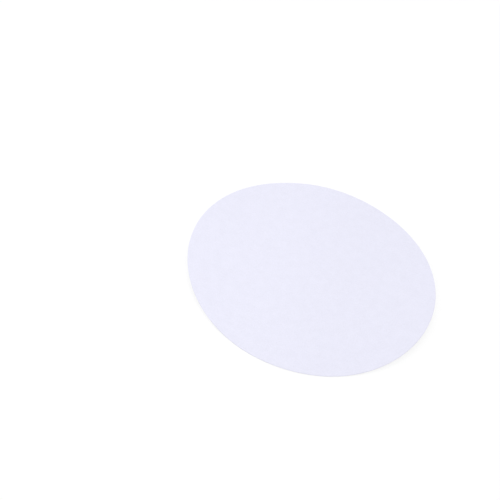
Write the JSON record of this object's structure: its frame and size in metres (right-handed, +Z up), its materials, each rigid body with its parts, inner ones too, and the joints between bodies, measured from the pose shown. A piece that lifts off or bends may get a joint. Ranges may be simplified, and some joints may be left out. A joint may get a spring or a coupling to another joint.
{
  "type": "filter paper disc",
  "caption": "Plain white circle of thin filter paper with a square die-cut edge, lying at rest with opposite margins slightly raised by the paper's own curl.",
  "frame": {"origin": "centre of the disc, on the surface that it lies on", "axes": "+Z up through the sheet, +X across the grain towards the raised right margin, +Y along the grain"},
  "size_m": [0.125, 0.125, 0.0031],
  "materials": {
    "filter_paper": "matt, uncoated and finely fibrous, white with a faint cool cast"
  },
  "bodies": {
    "root": {"paper_disc": "filter_paper"}
  },
  "joints": []
}
